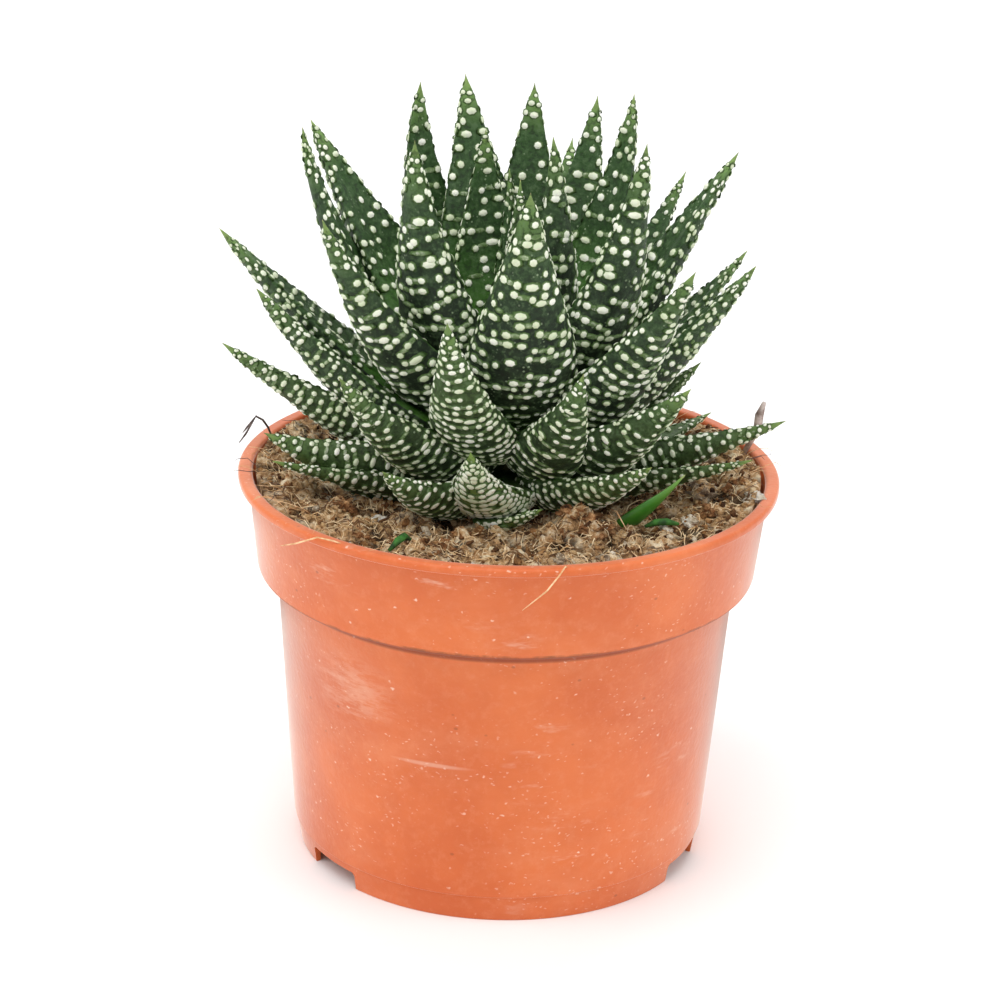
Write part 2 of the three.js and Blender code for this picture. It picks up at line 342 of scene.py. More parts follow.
def potPlastic(name, sheen, dirt):
    look = Shader(name)
    place = look.place()
    cloud = look.noise(place, 28, 4, 0.6)
    skin = look.blend(look.band(cloud, 0.35, 0.7), *pot["plastic"])
    fleck = look.noise(place, 420, 4, 0.7)
    skin = look.blend(look.band(fleck, 0.45, 0.75) * 0.22, skin, pot["faded"])
    haze = look.noise(look.stretched(place, (14, 14, 30)), 1.6, 5, 0.65)
    skin = look.blend(look.band(haze, 0.48, 0.75) * 0.3, skin, pot["faded"])
    rub = look.noise(look.stretched(place, (60, 60, 240)), 1, 4, 0.7)
    patch = look.noise(place, 22, 2, 0.5)
    rubs = look.band(rub, 0.56, 0.72) * look.band(patch, 0.56, 0.68)
    skin = look.blend(rubs * 0.5, skin, pot["dust"])
    # the scuffed patch and the long scratch of the left side
    scuff = look.band(look.noise(look.stretched(place, (90, 90, 420)), 1, 5, 0.75), 0.42, 0.62)
    scuff = look.near(place, pot["scuffAt"], (60, 60, 90), 0.2) * scuff
    skin = look.blend(scuff * pot["scuff"], skin, pot["dust"])
    scratch = look.near(place, pot["scratchAt"], (90, 90, 1400), 0.3, (0, -0.07, 0))
    skin = look.blend(scratch * pot["scratch"], skin, pot["dust"])
    # pale specks with ragged edges, large and fine, in patches, and a few dark ones
    ragged = look.node("TexNoise", {}, {"Vector": place, "Scale": 900, "Detail": 1}, 1)
    ragged = look.vector("SCALE", {0: ragged, "Scale": 0.0012})
    ragged = look.vector("ADD", {0: place, 1: ragged})
    large = look.cells(look.stretched(ragged, (1, 1, 1.5)), 240)
    chance = look.band(look.noise(place, 46, 2, 0.5), 0.34, 0.6)
    speck = (1 - look.band(large, 0.03, 0.13)) * chance
    fine = look.cells(look.stretched(ragged, (1, 1, 1.8)), 520)
    chance = look.band(look.noise(look.stretched(place, (1, 1, 1.6)), 30, 3, 0.6), 0.42, 0.62)
    speck = speck * 0.7 + (1 - look.band(fine, 0.05, 0.22)) * chance * 0.5
    skin = look.blend(speck, skin, pot["dust"])
    soot = look.cells(look.stretched(place, (1, 1, 1.4)), 120)
    skin = look.blend((1 - look.band(soot, 0.03, 0.075)) * 0.5, skin, pot["soot"])
    # painted shade in the corner under the collar, and soil on the inside
    height = look.axis(place, "Z")
    collarFoot = pot["height"] - pot["collarHeight"]
    # painted shade: a dark band from just under the collar's foot up over its rounded foot
    collarShadow = look.band(height, collarFoot - 2.7 * mm, collarFoot - 1.9 * mm)
    collarShadow = collarShadow - look.band(height, collarFoot + 0.45 * mm, collarFoot + 1.1 * mm)
    skin = look.blend(collarShadow * 0.75, skin, pot["collarShade"])
    stain = look.band(look.noise(place, 160, 4, 0.7), 0.4, 0.7)
    skin = look.blend(stain * dirt, skin, pot["soiled"])
    grain = look.noise(place, 900, 2, 0.5)
    return look.finish({
        "Base Color": skin,
        "Roughness": 0.42 + haze * 0.16 + rubs * 0.2,
        "Normal": look.bump(grain * 0.4 + cloud, 0.25, 0.0006),
        "Specular IOR Level": 0.4,
        "Sheen Weight": sheen,
        "Sheen Roughness": 0.32,
        "Sheen Tint": (1, 0.98, 0.94, 1),
        "Subsurface Weight": 0.06,
        "Subsurface Radius": (0.006, 0.002, 0.001),
        "Subsurface Scale": 0.4,
    })


def arc(centre, radius, start, end, steps):
    # points of an arc in the lathe's plane, from one angle to another
    turns = [math.radians(mix(start, end, i / steps)) for i in range(steps + 1)]
    return [(centre[0] + radius * math.cos(a), centre[1] + radius * math.sin(a)) for a in turns]


def potProfile():
    # the outline from the middle of the floor, out and up to the rim, and back down inside
    top = pot["height"]
    lip = top - pot["lipHeight"]
    collarFoot = top - pot["collarHeight"]
    collarTop = pot["collarTopRadius"]
    foot = pot["footHeight"]
    wall = pot["wall"]
    footRound = 0.3 * mm
    collarRound = 1.6 * mm
    collarBend = collarFoot + collarRound
    tuckRound = 0.8 * mm
    lipRound = 0.5 * mm
    rimRound = 0.9 * mm
    inner = collarTop - wall
    return [
        (0, pot["floorHeight"]),
        (pot["footRadius"] - wall, pot["floorHeight"]),
        *arc((pot["footRadius"] - wall + footRound, footRound), footRound, 180, 270, 3),
        *arc((pot["footRadius"] - footRound, footRound), footRound, 270, 360, 3),
        (pot["footTopRadius"], foot - 0.45 * mm),
        (pot["footTopRadius"] + 0.05 * mm, foot - 0.2 * mm),
        *arc((pot["bodyFootRadius"] - 0.35 * mm, foot + 0.3 * mm), 0.35 * mm, 300, 360, 4),
        (pot["bodyTopRadius"] - 0.05 * mm, collarFoot - 0.3 * mm),
        (pot["bodyTopRadius"] + 0.2 * mm, collarFoot),
        *arc((pot["collarFootRadius"] - collarRound, collarBend), collarRound, 270, 360, 7),
        (collarTop - 0.35 * mm, lip - 0.9 * mm),
        *arc((collarTop + 0.6 * mm, lip - tuckRound), tuckRound, 170, 90, 4),
        *arc((pot["rimRadius"] - lipRound, lip + lipRound), lipRound, 270, 360, 4),
        *arc((pot["rimRadius"] - rimRound, top - rimRound), rimRound, 0, 90, 5),
        *arc((inner + rimRound, top - rimRound), rimRound, 90, 180, 5),
        (pot["collarFootRadius"] - wall, collarBend + wall),
        (pot["bodyTopRadius"] - wall, collarFoot + wall),
        (pot["bodyFootRadius"] - wall, foot + wall),
        (0, foot + wall),
    ]


def spun(points, steps):
    # turns an outline about the pot's axis into a closed shape
    shape = bmesh.new()
    verts = [shape.verts.new((r, 0, z)) for r, z in points]
    edges = [shape.edges.new(pair) for pair in zip(verts, verts[1:])]
    bmesh.ops.spin(
        shape, geom=verts + edges, cent=(0, 0, 0), axis=(0, 0, 1), dvec=(0, 0, 0),
        angle=2 * math.pi, steps=steps, use_merge=True,
    )
    bmesh.ops.remove_doubles(shape, verts=shape.verts, dist=1e-6)
    facesOut(shape)
    return shape


def cutters():
    # the notches in the foot ring and the drain holes in the floor
    shape = bmesh.new()
    for i in range(3):
        turn = Matrix.Rotation(math.radians(pot["notchFirst"] + i * 120), 4, "Z")
        size = Matrix.Diagonal((pot["knifeDepth"], pot["notchWidth"], pot["notchHeight"] * 2, 1))
        place = Matrix.Translation((pot["footRadius"], 0, 0))
        made = bmesh.ops.create_cube(shape, size=1, matrix=turn @ place @ size)
        edges = {edge for vert in made["verts"] for edge in vert.link_edges}
        upright = [edge for edge in edges if min(v.co.z for v in edge.verts) > 0]
        bmesh.ops.bevel(
            shape, geom=upright, offset=0.8 * mm, segments=3, profile=0.5,
            affect="EDGES", material=-1,
        )
    for i in range(6):
        turn = Matrix.Rotation(math.radians(30 + i * 60), 4, "Z")
        place = Matrix.Translation((pot["drainRing"], 0, pot["floorHeight"] + 1 * mm))
        bmesh.ops.create_cone(
            shape, cap_ends=True, segments=28, radius1=pot["drainRadius"],
            radius2=pot["drainRadius"], depth=8 * mm, matrix=turn @ place,
        )
    return shape


def makePot():
    shape = spun(potProfile(), pot["turnSteps"])
    for vert in shape.verts:
        # thin plastic is never quite round
        radius = math.hypot(vert.co.x, vert.co.y)
        at = math.atan2(vert.co.y, vert.co.x)
        sway = sum(size * math.sin(count * at + start) for size, count, start in pot["sway"])
        if radius > 20 * mm:
            vert.co.xy *= 1 + sway * mm * smooth(30 * mm, 90 * mm, vert.co.z) / radius
    ledge = pot["height"] - pot["collarHeight"]
    for face in shape.faces:
        middle = face.calc_center_median()
        facesAxis = face.normal.dot(Vector((middle.x, middle.y, 0))) < 0
        inside = facesAxis and middle.z < pot["height"] - 1.2 * mm
        under = face.normal.z < -0.25 and abs(middle.z - ledge) < 2.5 * mm
        face.material_index = 1 if inside or under else 0
    looks = [potPlastic("potPlastic", 0.9, 0), potPlastic("potInside", 0, 0.7)]
    piece = finishPiece("potShell", shape, looks, ["pot"], 40)
    cut = cutters()
    cut.transform(Matrix.Translation(potAxis))
    knife = placed("knife", meshOf("knife", cut))
    change = piece.modifiers.new("notches", "BOOLEAN")
    change.operation = "DIFFERENCE"
    change.object = knife
    change.solver = "MANIFOLD"
    bpy.context.view_layer.update()
    graph = bpy.context.evaluated_depsgraph_get()
    carved = bpy.data.meshes.new_from_object(piece.evaluated_get(graph))
    piece.modifiers.clear()
    piece.data = carved
    bpy.data.objects.remove(knife)


makePot()
print("pot")


# Leaves: where each one runs, as in the part's own source

leafForm = {
    "rootRadius": 5 * mm,
    "rootHeight": 84 * mm,
    "rootClimb": 22 * mm,
    "climbAbove": 6 * mm,
    "climbPower": 1.5,
    "bowReach": 0.36,
    "peakAt": 0.32,
    "neck": 0.5,
    "taper": (1.35, 1.1),
    "thickness": 0.42,
    "outerShare": 0.78,
    "keel": 0.35,
    "channel": 0.85,
    "fullTip": 0.045,
    "needleRadius": 0.24 * mm,
    "needlePast": 0.7 * mm,
    "around": 32,
    "along": 50,
    "tipCrowding": 1.25,
    "stations": 90,
    "freshest": 0.6,
    "freshBelow": 100 * mm,
    "ripeAbove": 140 * mm,
    "crowdedFreshness": 4.5,
}
leafTones = {
    # from the root to the tip; the outer face's near-black band low on the leaf is painted shade
    # where the leaves crowd
    "outer": [
        (0.0, colour(40, 66, 14)), (0.2, colour(12, 23, 8)), (0.45, colour(22, 37, 20)),
        (0.74, colour(47, 71, 38)), (0.92, colour(100, 132, 68)), (0.985, colour(132, 152, 84)),
        (1.0, colour(190, 178, 124)),
    ],
    "inner": [
        (0.0, colour(112, 168, 36)), (0.3, colour(60, 106, 26)), (0.52, colour(32, 62, 20)),
        (0.78, colour(50, 82, 38)), (0.92, colour(112, 146, 76)), (0.985, colour(134, 154, 86)),
        (1.0, colour(190, 178, 124)),
    ],
    "blade": [
        (0.0, colour(40, 92, 22)), (0.5, colour(64, 132, 36)), (0.92, colour(120, 168, 76)),
        (1.0, colour(196, 196, 140)),
    ],
    "bladeCloud": colour(98, 160, 60),
    "fresh": [colour(54, 80, 28), colour(118, 146, 68)],
    "cloud": colour(62, 87, 53),
    # a pale mottle that is partly painted sheen on raised spots, then near black painted shade for
    # the low spots
    "mottleSheen": colour(92, 116, 78),
    "bumpShade": colour(8, 15, 5),
    "fleck": colour(168, 188, 150),
    "mound": colour(96, 124, 70),
    "chalk": [colour(206, 216, 182), colour(246, 247, 234)],
    "greenChalk": colour(160, 184, 122),
    "glow": {"Subsurface Radius": (0.002, 0.004, 0.001), "Subsurface Scale": 0.3},
}

# Tip side in degrees, reach and height, width, bow at the root and at the tip, and roll in
# degrees; a young leaf also has its root's side, reach and height.
leafRows = [
    # heart
    [-160, 0.002, 0.157, 0.012, 2, 4, 0],
    [-85, 0.006, 0.156, 0.011, 4, 6, 0],
    [-25, 0.008, 0.165, 0.019, 4, 6, -6],
    [114, 0.018, 0.161, 0.019, 12, 14, 0],
    # upper
    [-85, 0.030, 0.160, 0.025, 26, 20, 0],
    [-141, 0.028, 0.167, 0.023, 20, 16, 12],
    [-34, 0.032, 0.168, 0.021, 20, 14, -14],
    [39, 0.032, 0.169, 0.020, 12, 14, 0],
    [127, 0.037, 0.168, 0.021, 24, 30, 0],
    [85, 0.036, 0.167, 0.022, 14, 12, 0],
    [63, 0.038, 0.165, 0.020, 12, 14, 0],
    [108, 0.040, 0.168, 0.024, 6, 4, 0],
    [173, 0.047, 0.163, 0.021, 18, 18, 8],
    [14, 0.049, 0.159, 0.021, 6, 0, 0],
    [-143, 0.050, 0.153, 0.019, 10, 16, 22],
    [152, 0.052, 0.160, 0.026, 0, 2, 0],
    # middle
    [-110, 0.040, 0.134, 0.020, 36, 26, 0],
    [-41, 0.049, 0.145, 0.020, 18, 10, -22],
    [-69, 0.041, 0.124, 0.017, 36, 26, -30],
    [-11, 0.052, 0.140, 0.023, 10, 6, 0],
    [104, 0.060, 0.151, 0.018, 10, 10, 0],
    [77, 0.055, 0.150, 0.017, 10, 10, 0],
    [48, 0.057, 0.146, 0.015, 8, 8, 0],
    [9, 0.051, 0.138, 0.017, 8, 6, 0],
    [178, 0.064, 0.141, 0.023, 8, 4, 4],
    [-168, 0.056, 0.132, 0.026, 14, 8, 10],
    [130, 0.058, 0.135, 0.020, 8, 8, 0],
    [25, 0.050, 0.124, 0.018, 8, 8, 0],
    # lower
    [-137, 0.049, 0.120, 0.019, 20, 20, 28],
    [-42, 0.050, 0.120, 0.020, 18, 12, -28],
    [-171, 0.063, 0.119, 0.020, 10, 6, 32],
    [-102, 0.039, 0.106, 0.020, 30, 34, 0],
    [62, 0.058, 0.116, 0.018, 10, 12, 0],
    [90, 0.056, 0.112, 0.018, 10, 14, 0],
    [118, 0.057, 0.116, 0.018, 10, 12, 0],
    [147, 0.052, 0.108, 0.017, 8, 10, 0],
    [18, 0.044, 0.110, 0.016, 8, 10, 0],
    [-52, 0.048, 0.104, 0.017, 12, 12, -22],
    [-6, 0.060, 0.104, 0.017, 2, 4, -46],
    [-163, 0.055, 0.101, 0.022, 6, 10, 58],
    [-123, 0.048, 0.102, 0.017, 14, 18, 30],
    [163, 0.050, 0.102, 0.015, 6, 8, 0],
    [76, 0.057, 0.100, 0.015, 6, 10, 0],
    [104, 0.055, 0.099, 0.015, 6, 10, 0],
    [131, 0.055, 0.098, 0.015, 4, 8, 0],
    [32, 0.054, 0.093, 0.014, 4, 6, 0],
    [-19, 0.055, 0.099, 0.013, 2, 4, -28],
    [-156, 0.055, 0.097, 0.013, 2, 4, 28],
    # young
    [-76, 0.029, 0.090, 0.0092, 4, 10, 0, -107, 0.022, 0.0852],
    [-31, 0.0437, 0.0965, 0.0054, 0, 6, -52, -47.5, 0.0317, 0.0825],
]
bareLeaf = 50


class Course:
    # A leaf's middle line, with the directions across it and out of its outer face
    def __init__(self, row, number):
        side, reach, height, self.width, bowLow, bowHigh, roll = row[:7]
        self.crowd = pearls["crowded"].get(number, 1)
        self.plump = pearls["plump"].get(number, 1)
        tip = polar(side, reach, height)
        above = height - leafForm["rootHeight"] - leafForm["climbAbove"]
        slope = max(0, math.atan2(above, reach))
        climb = leafForm["rootClimb"] * math.sin(slope) ** leafForm["climbPower"]
        root = polar(side, leafForm["rootRadius"], leafForm["rootHeight"] + climb)
        if len(row) > 7:
            root = polar(*row[7:])
        chord = tip - root
        outward = Vector((chord.x, chord.y, 0)).normalized()
        rise = math.asin(chord.z / chord.length)
        pull = chord.length * leafForm["bowReach"]
        start = rise - math.radians(bowLow)
        end = rise + math.radians(bowHigh)
        upward = Vector((0, 0, 1))
        self.ends = [
            root,
            root + (outward * math.cos(start) + upward * math.sin(start)) * pull,
            tip - (outward * math.cos(end) + upward * math.sin(end)) * pull,
            tip,
        ]
        self.level = Vector((-outward.y, outward.x, 0))
        self.roll = math.radians(roll)
        self.height = height
        self.measure()

    def bend(self, u):
        a, b, c, d = self.ends
        v = 1 - u
        return a * v ** 3 + b * (3 * v * v * u) + c * (3 * v * u * u) + d * u ** 3

    def measure(self):
        # stations at even lengths, each with its point, direction, flat and out
        steps = leafForm["stations"]
        fine = [self.bend(i / (steps * 2)) for i in range(steps * 2 + 1)]
        lengths = [0]
        for a, b in zip(fine, fine[1:]):
            lengths.append(lengths[-1] + (b - a).length)
        self.length = lengths[-1]
        self.stations = []
        i = 0
        for step in range(steps + 1):
            want = self.length * step / steps
            while i < len(lengths) - 2 and lengths[i + 1] < want:
                i += 1
            u = (i + (want - lengths[i]) / (lengths[i + 1] - lengths[i])) / (steps * 2)
            ahead = self.bend(min(1, u + 1e-3)) - self.bend(max(0, u - 1e-3))
            along = ahead.normalized()
            flat = Quaternion(along, self.roll) @ self.level
            self.stations.append((self.bend(u), along, flat, flat.cross(along).normalized()))

    def at(self, share):
        # the point at a share of the length, with the direction, flat and out there
        place = min(1, max(0, share)) * (len(self.stations) - 1)
        i = min(int(place), len(self.stations) - 2)
        here, ahead = self.stations[i], self.stations[i + 1]
        return [a.lerp(b, place - i) for a, b in zip(here, ahead)]

    def skin(self, share, turn):
        # a point of the leaf's skin: turn runs from one edge over the outer face and back
        centre, along, flat, out = self.at(share)
        half, outer, inner = self.section(share)
        sine = math.sin(turn)
        if sine >= 0:
            keel = 1 + leafForm["keel"] * smooth(0.35, 0.9, share)
            depth = outer * sine ** keel
        else:
            channel = leafForm["channel"] * smooth(0.2, 0.5, share) * (1 - smooth(0.8, 0.95, share))
            depth = -inner * (-sine) * (1 - channel * sine ** 4 * 1.4)
        past = leafForm["needlePast"] * smooth(0.97, 1, share)
        return centre + flat * (math.cos(turn) * half) + out * depth + along * past

    def section(self, share):
        # half the width, and the thickness to the outer and to the inner face
        share = min(1, share)
        peak = leafForm["peakAt"]
        if share < peak:
            taper = leafForm["neck"] + (1 - leafForm["neck"]) * math.sin(math.pi / 2 * share / peak)
        else:
            early, late = leafForm["taper"]
            taper = (1 - ((share - peak) / (1 - peak)) ** early) ** late
        left = 1 - share
        taper += leafForm["fullTip"] * smooth(0, 0.04, left) * (1 - smooth(0.06, 0.25, left))
        deep = self.width * leafForm["thickness"] * taper ** 0.8
        needle = leafForm["needleRadius"] * (1 - smooth(0.985, 1, share) * 0.8)
        half = max(self.width / 2 * taper, needle)
        outer = max(deep * leafForm["outerShare"], needle)
        inner = max(deep * (1 - leafForm["outerShare"]), needle)
        return half, outer, inner


def leafSkin():
    look = Shader("leafSkin")
    place = look.place()
    leafMap = look.node("UVMap", {"uv_map": "leafMap"}, {})
    along = look.axis(leafMap, "Y")
    around = look.axis(leafMap, "X")
    # painted shade: the outer face turns near black low on the leaf
    outer = look.ramp(along, leafTones["outer"])
    inner = look.ramp(along, leafTones["inner"])
    skin = look.blend(look.band(around, 0.47, 0.53), outer, inner)
    fresh = look.blend(look.band(along, 0.2, 0.9), *leafTones["fresh"])
    skin = look.blend(look.attribute("fresh") * 0.45, skin, fresh)
    cloud = look.noise(place, 140, 4, 0.6)
    skin = look.blend(look.band(cloud, 0.38, 0.75) * 0.4, skin, leafTones["cloud"])
    # the mottle also raises the skin: paler on its raised spots as painted sheen, near black in its
    # low spots as painted shade
    mottleSheen = look.noise(place, 700, 4, 0.65)
    skin = look.blend(look.band(mottleSheen, 0.5, 0.66) * 0.42, skin, leafTones["mottleSheen"])
    skin = look.blend(look.band(mottleSheen, 0.5, 0.36) * 0.5, skin, leafTones["bumpShade"])
    chance = look.band(look.noise(place, 260, 2, 0.5), 0.5, 0.66)
    fleck = (1 - look.band(look.cells(place, 900), 0.12, 0.3)) * chance
    skin = look.blend(fleck * 0.6, skin, leafTones["fleck"])
    # the pearls: chalk on a pale green mound, greener at the tips and on the inner face
    pearl = look.attribute("pearl")
    skin = look.blend(look.band(pearl, 0.02, 0.4) * 0.75, skin, leafTones["mound"])
    chalk = look.blend(look.band(cloud, 0.35, 0.7), *leafTones["chalk"])
    greener = look.band(along, 0.6, 0.95) * 0.75 + look.band(around, 0.52, 0.6) * 0.2
    chalk = look.blend(greener, chalk, leafTones["greenChalk"])
    white = look.band(pearl + (mottleSheen - 0.5) * 0.5, 0.38, 0.66)
    return look.finish({
        "Base Color": look.blend(white, skin, chalk),
        "Roughness": 0.46 + mottleSheen * 0.2 + white * 0.1,
        "Normal": look.bump(mottleSheen + cloud * 0.5 + fleck * 0.4, 0.6, 0.0005),
        "Specular IOR Level": 0.3,
        "Subsurface Weight": 0.05,
        **leafTones["glow"],
    })


def bladeSkin():
    # the smooth young blade without pearls
    look = Shader("freshSkin")
    leafMap = look.node("UVMap", {"uv_map": "leafMap"}, {})
    skin = look.ramp(look.axis(leafMap, "Y"), leafTones["blade"])
    cloud = look.noise(look.place(), 300, 3, 0.6)
    return look.finish({
        "Base Color": look.blend(look.band(cloud, 0.4, 0.75) * 0.4, skin, leafTones["bladeCloud"]),
        "Roughness": 0.36,
        "Normal": look.bump(cloud, 0.2, 0.0003),
        "Subsurface Weight": 0.1,
        **leafTones["glow"],
    })


def leafBody(course):
    # a grid wrapped round the course: x goes round the leaf and y along it
    shape = bmesh.new()
    shape.loops.layers.uv.new("leafMap")
    shape.verts.layers.float.new("pearl")
    bmesh.ops.create_grid(
        shape, x_segments=leafForm["around"], y_segments=leafForm["along"], size=1, calc_uvs=True,
    )
    for vert in shape.verts:
        turn = (vert.co.x + 1) * math.pi
        share = (vert.co.y + 1) / 2
        vert.co = course.skin(1 - (1 - share) ** leafForm["tipCrowding"], turn)
    bmesh.ops.remove_doubles(shape, verts=shape.verts, dist=1e-7)
    rim = [edge for edge in shape.edges if edge.is_boundary]
    bmesh.ops.holes_fill(shape, edges=rim, sides=0)
    facesOut(shape)
    return shape


# Pearls, in rows across each leaf. A pair is for a leaf with close pearls, as the low ones
# have, and for one with open pearls, as the high ones have.

pearls = {
    "closeBelow": 130 * mm,
    "openAbove": 158 * mm,
    "row": (1.95 * mm, 2.55 * mm),
    "step": (2.15 * mm, 2.6 * mm),
    "size": (0.88 * mm, 1.06 * mm),
    "skipped": (0.05, 0.1),
    "stretched": (0.25, 0.2),
    "joined": (0.75, 0.5),
    "innerFrom": (0.48, 0.36),
    "from": 0.1,
    "to": 0.972,
    "innerSpread": 1.2,
    "innerDepth": 0.32,
    "sag": 0.9 * mm,
    "ridgeAbove": 1.6 * mm,
    "marginCosine": 0.85,
    "marginGaps": 0.38,
    "clearance": 0.25 * mm,
    # by leaf number
    "crowded": {32: 1.35, 17: 1.1, 49: 1.5, 19: 0.87, 30: 0.87, 29: 0.92},
    "plump": {32: 1.24, 49: 1.1},
    # rings of radius, height and share of white
    "rings": [(1.55, -0.26, 0), (1.02, 0.2, 0.35), (0.66, 0.5, 1)],
    "top": 0.62,
    "ridgeRings": [(1.3, -0.26, 0), (0.7, 0.26, 0.44)],
    "ridgeTop": 0.34,
    "sides": 7,
    "seed": 7,
}


def pearlMesh(rings, top):
    # one pearl on its low mound: rings that close to the top, each with its share of white
    shape = bmesh.new()
    white = shape.verts.layers.float.new("pearl")
    sides = pearls["sides"]
    ring = bmesh.ops.create_circle(shape, cap_ends=True, segments=sides, radius=1)["verts"]
    edges = list(shape.edges)
    for i, (radius, height, share) in enumerate(rings):
        if i > 0:
            ring, edges = extruded(shape, edges)
        for vert in ring:
            flat = vert.co.xy.normalized() * radius
            vert.co = (flat.x, flat.y, height)
            vert[white] = share
    tip, _ = extruded(shape, edges)
    for vert in tip:
        vert[white] = rings[-1][2]
    bmesh.ops.pointmerge(shape, verts=tip, merge_co=(0, 0, top))
    facesOut(shape)
    return meshOf("pearl", shape)


def pearlPlaces(course, draw):
    # share of the length, turn, half-width across, half-length along, and 1 for a low ridge
    rare = smooth(pearls["closeBelow"], pearls["openAbove"], course.height)
    row = mix(*pearls["row"], rare) / course.crowd
    step = mix(*pearls["step"], rare) / course.crowd
    size = mix(*pearls["size"], rare) * course.plump
    found = []
    for start in (0, math.pi):
        # the outer face, then the inner one
        share = mix(*pearls["innerFrom"], rare) if start else pearls["from"]
        odd = 0
        while share < pearls["to"]:
            half, outer, _ = course.section(share)
            near = mix(0.72, 1.08, smooth(0.12, 0.5, share))
            fit = mix(0.55, 1, smooth(0.4 * mm, 3.2 * mm, half))
            girth = 2 * half if start else math.pi * math.sqrt((half * half + outer * outer) / 2)
            count = max(2 if start else 3, round(girth / (step * near * fit)))
            places = rowPlaces(course, draw, share, start, count, odd, (size * near * fit, row, rare))
            if start:
                places = [place for place in places if math.sin(place[1]) < -pearls["innerDepth"]]
            found += places
            spread = pearls["innerSpread"] if start else 1
            spread *= mix(1, 0.55, smooth(0.72, 0.97, share))
            share += row * near * spread / course.length
            odd = 1 - odd
    return found + edgePlaces(course, size, row, draw)


def rowPlaces(course, draw, share, start, count, odd, sizes):
    # one row over a face: pearls, and low ridges that join some neighbours
    size, row, rare = sizes
    found = []
    last = None
    calm = min(1, course.crowd ** -4)
    wave = draw.gauss(0, 0.2) * row * calm
    phase = draw.uniform(0, 2 * math.pi)
    for i in range(count):
        place = (i + 0.25 + odd * 0.5 + draw.uniform(-0.2, 0.2) * calm) / count
        turn = start + math.pi * min(0.95, max(0.05, place))
        half = course.section(share)[0]
        drop = pearls["sag"] * min(1, half / (6 * mm)) * abs(math.sin(turn))
        drop += draw.gauss(0, 0.15) * row * calm
        drop += wave * math.sin(turn * 3 + phase)
        at = share - drop / course.length
        room = half * (1 - abs(math.cos(turn))) * 0.8 + min(0.3 * mm, half * 0.3)
        wide = min(room, size * draw.uniform(0.62, 1.08))
        tall = min(half * 0.5, size * draw.uniform(0.6, 0.76) * mix(1, 1.12, rare))
        if draw.random() < mix(*pearls["stretched"], rare):
            wide = min(room, wide * draw.uniform(1.25, 1.6))
        if draw.random() < mix(*pearls["skipped"], rare):
            last = None
            continue
        found.append((at, turn, wide, tall, 0))
        joins = last and half > pearls["ridgeAbove"] and not (start and nearMargin(turn, last[1]))
        if joins and draw.random() < mix(*pearls["joined"], rare):
            reach = (course.skin(at, turn) - course.skin(*last)).length / 2
            middle = ((at + last[0]) / 2, (turn + last[1]) / 2)
            found.append((*middle, min(room, reach * 0.9), tall * 0.8, 1))
        last = (at, turn)
    return found


def nearMargin(*turns):
    return max(abs(math.cos(turn)) for turn in turns) > pearls["marginCosine"]


def edgePlaces(course, size, row, draw):
    # the beaded margins, a little closer set than the rows
    found = []
    for turn in (0, math.pi):
        share = pearls["from"] + 0.05
        while share < pearls["to"]:
            fit = mix(0.5, 1, smooth(0.4 * mm, 4 * mm, course.section(share)[0]))
            lean = draw.uniform(-0.16, 0.16)
            if draw.random() > pearls["marginGaps"]:
                wide = size * draw.uniform(0.4, 0.6) * fit
                found.append((share, turn + lean, wide, size * draw.uniform(0.5, 0.9) * fit, 0))
            share += row * 0.8 * draw.uniform(0.75, 1.3) / course.length
    return found


def pour(shape, mould, move):
    # adds a mould to a shape, and moves its points into place
    done = len(shape.verts)
    shape.from_mesh(mould)
    shape.verts.ensure_lookup_table()
    for vert in shape.verts[done:]:
        vert.co = move(vert.co)


def addPearls(shape, course, places, others, moulds):
    # a fresh start keeps every pearl's points behind those already there
    body = bpy.data.meshes.new("body")
    shape.to_mesh(body)
    shape.clear()
    shape.from_mesh(body)
    # which way round the leaf the turns run, seen from outside
    side = course.skin(0.5, 1.7) - course.skin(0.5, 1.4)
    ahead = course.skin(0.51, 1.57) - course.skin(0.49, 1.57)
    sense = side.cross(ahead).dot(course.skin(0.5, 1.57) - course.at(0.5)[0])
    for share, turn, wide, tall, ridge in places:
        here = course.skin(share, turn)
        across = (course.skin(share, turn + 0.04) - course.skin(share, turn - 0.04)).normalized()
        across *= math.copysign(1, sense)
        along = (course.skin(share + 0.008, turn) - course.skin(share - 0.008, turn)).normalized()
        out = across.cross(along).normalized()
        along = out.cross(across)
        if any(hidden(tree, here + out * pearls["clearance"]) for tree in others):
            continue
        turned = Matrix((across, along, out)).transposed().to_4x4()
        sizes = Matrix.Diagonal((wide, tall, min(wide, tall), 1))
        matrix = Matrix.Translation(here) @ turned @ sizes
        pour(shape, moulds[ridge], lambda point: matrix @ point)


def hidden(tree, point):
    # whether a point lies inside another leaf
    found, normal, _, _ = tree.find_nearest(point, 6 * mm)
    return found is not None and normal.dot(point - found) < 0


def boxesMeet(a, b):
    return all(a[0][k] < b[1][k] and b[0][k] < a[1][k] for k in range(3))


def boxOf(shape):
    low = [min(v.co[k] for v in shape.verts) for k in range(3)]
    high = [max(v.co[k] for v in shape.verts) for k in range(3)]
    return low, high


